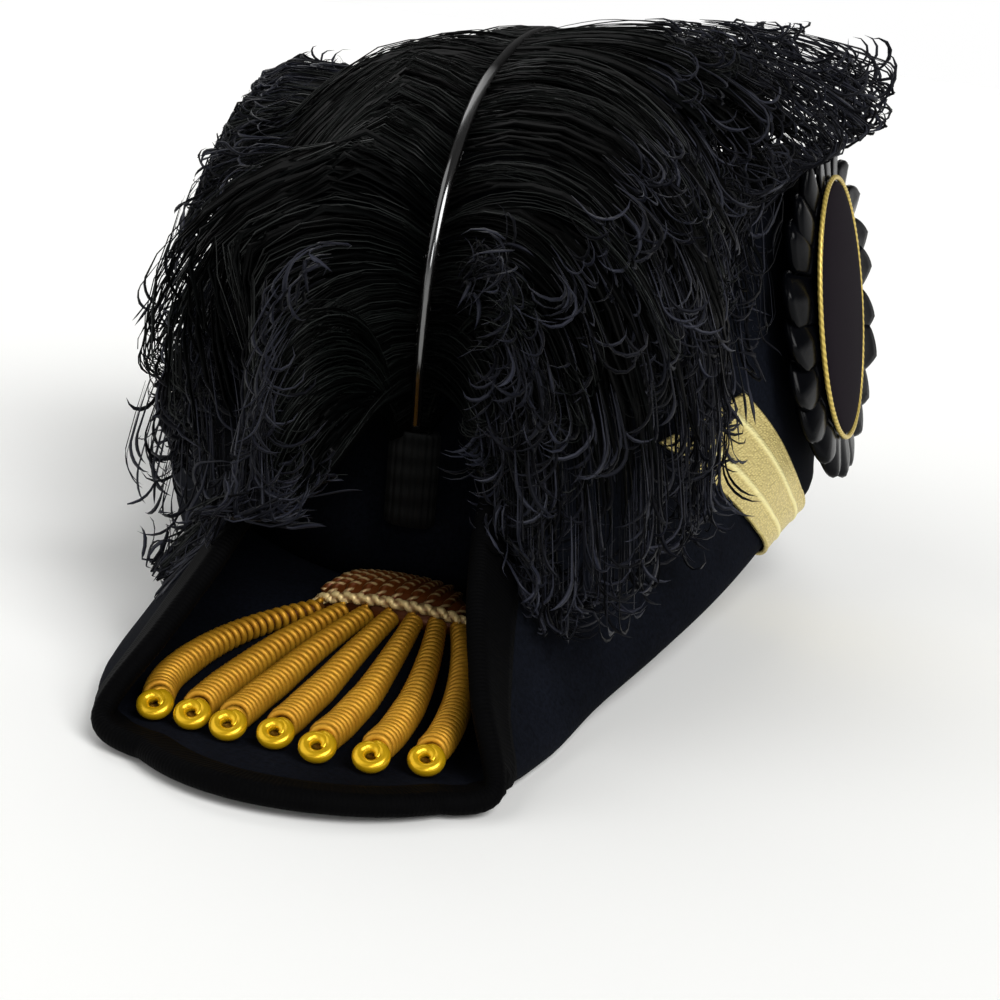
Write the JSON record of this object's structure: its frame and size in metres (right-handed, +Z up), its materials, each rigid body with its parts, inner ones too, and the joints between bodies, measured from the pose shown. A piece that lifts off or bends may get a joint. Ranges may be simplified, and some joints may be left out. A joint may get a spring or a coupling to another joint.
{
  "type": "plumed hat",
  "caption": "Black felt fore-and-aft dress hat with a curled plume over the crown, gold bullion ropes on the front peak, a gold lace strap and a pleated rosette.",
  "frame": {"origin": "on the table, under the middle of the hat's outline", "axes": "+Z up, -Y is the front peak, +X is the wearer's left, where the rosette is"},
  "size_m": [0.1935, 0.4404, 0.1486],
  "materials": {
    "felt": "matt stiffened wool felt",
    "ribbon": "ribbed ribbon",
    "bullion_wire": "bright gilt wire",
    "wound_thread": "wound gilt thread",
    "elastic": "ribbed elastic",
    "quill_horn": "glossy horn",
    "feather": "soft dyed barbs",
    "lace": "woven metallic lace",
    "satin": "satin ribbon",
    "padding": "plain padded cloth"
  },
  "bodies": {
    "root": {"brim": "felt", "crown": "felt", "edge_binding": "ribbon", "tassel_head": "wound_thread", "bullion_1": "bullion_wire", "bullion_2": "bullion_wire", "bullion_3": "bullion_wire", "bullion_4": "bullion_wire", "bullion_5": "bullion_wire", "bullion_6": "bullion_wire", "bullion_7": "bullion_wire", "plume_socket": "elastic", "plume_quill": "quill_horn", "plume_vane_left": "feather", "plume_vane_right": "feather", "gold_strap": "lace", "rosette_ruffle": "satin", "rosette_disc": "padding", "rosette_rim": "bullion_wire"}
  },
  "joints": []
}
